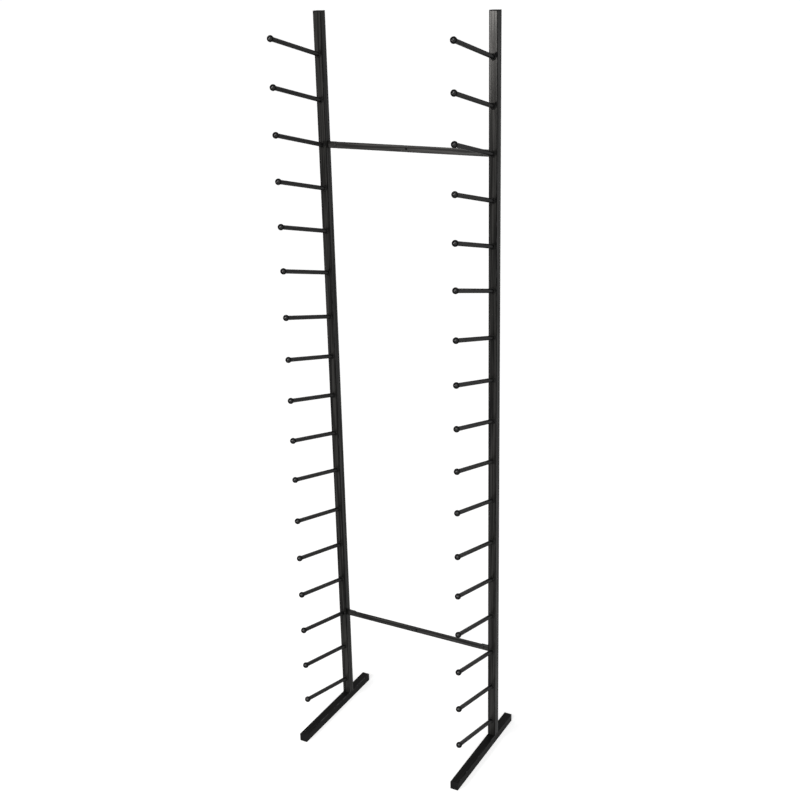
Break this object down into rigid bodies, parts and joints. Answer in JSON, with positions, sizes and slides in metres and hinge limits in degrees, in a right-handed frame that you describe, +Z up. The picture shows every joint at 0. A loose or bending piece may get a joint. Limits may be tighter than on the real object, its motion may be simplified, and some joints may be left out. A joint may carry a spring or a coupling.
{
  "type": "blueprint storage rack",
  "caption": "Tall free-standing rack for rolled drawings: square posts on floor feet carry pairs of up-sloping round arms with ball tips and are tied by flat crossbars.",
  "frame": {"origin": "on the floor, midway between the two feet and midway along their length", "axes": "+Z up along the posts, +X to the right across the rack as seen from the front, -Y towards the front, where the arms point"},
  "size_m": [0.5694, 0.4064, 2.2515],
  "materials": {
    "powder_coat": "black satin powder coat with a fine even orange peel",
    "arm_coat": "black powder coat, a little glossier, on round rods with ball tips",
    "zinc_plate": "bright zinc plate on the tubes inside the posts",
    "cap_plastic": "black moulded plastic, finely matt"
  },
  "bodies": {
    "root": {"foot_left": "powder_coat", "foot_cap_left_front": "cap_plastic", "foot_cap_left_rear": "cap_plastic", "foot_stub_left": "zinc_plate", "post_left_lower": "powder_coat", "post_left_middle": "powder_coat", "post_left_upper": "powder_coat", "splice_sleeve_left_lower": "zinc_plate", "splice_sleeve_left_middle": "zinc_plate", "post_cap_left": "cap_plastic", "arm_left_01": "arm_coat", "arm_left_02": "arm_coat", "arm_left_03": "arm_coat", "arm_left_04": "arm_coat", "arm_left_05": "arm_coat", "arm_left_06": "arm_coat", "arm_left_07": "arm_coat", "arm_left_08": "arm_coat", "arm_left_09": "arm_coat", "arm_left_10": "arm_coat", "arm_left_11": "arm_coat", "arm_left_12": "arm_coat", "arm_left_13": "arm_coat", "arm_left_14": "arm_coat", "arm_left_15": "arm_coat", "arm_left_16": "arm_coat", "arm_left_17": "arm_coat", "foot_right": "powder_coat", "foot_cap_right_front": "cap_plastic", "foot_cap_right_rear": "cap_plastic", "foot_stub_right": "zinc_plate", "post_right_lower": "powder_coat", "post_right_middle": "powder_coat", "post_right_upper": "powder_coat", "splice_sleeve_right_lower": "zinc_plate", "splice_sleeve_right_middle": "zinc_plate", "post_cap_right": "cap_plastic", "arm_right_01": "arm_coat", "arm_right_02": "arm_coat", "arm_right_03": "arm_coat", "arm_right_04": "arm_coat", "arm_right_05": "arm_coat", "arm_right_06": "arm_coat", "arm_right_07": "arm_coat", "arm_right_08": "arm_coat", "arm_right_09": "arm_coat", "arm_right_10": "arm_coat", "arm_right_11": "arm_coat", "arm_right_12": "arm_coat", "arm_right_13": "arm_coat", "arm_right_14": "arm_coat", "arm_right_15": "arm_coat", "arm_right_16": "arm_coat", "arm_right_17": "arm_coat", "crossbar_lower": "powder_coat", "crossbar_lug_left_lower": "powder_coat", "crossbar_lug_right_lower": "powder_coat", "crossbar_upper": "powder_coat", "crossbar_lug_left_upper": "powder_coat", "crossbar_lug_right_upper": "powder_coat"}
  },
  "joints": []
}
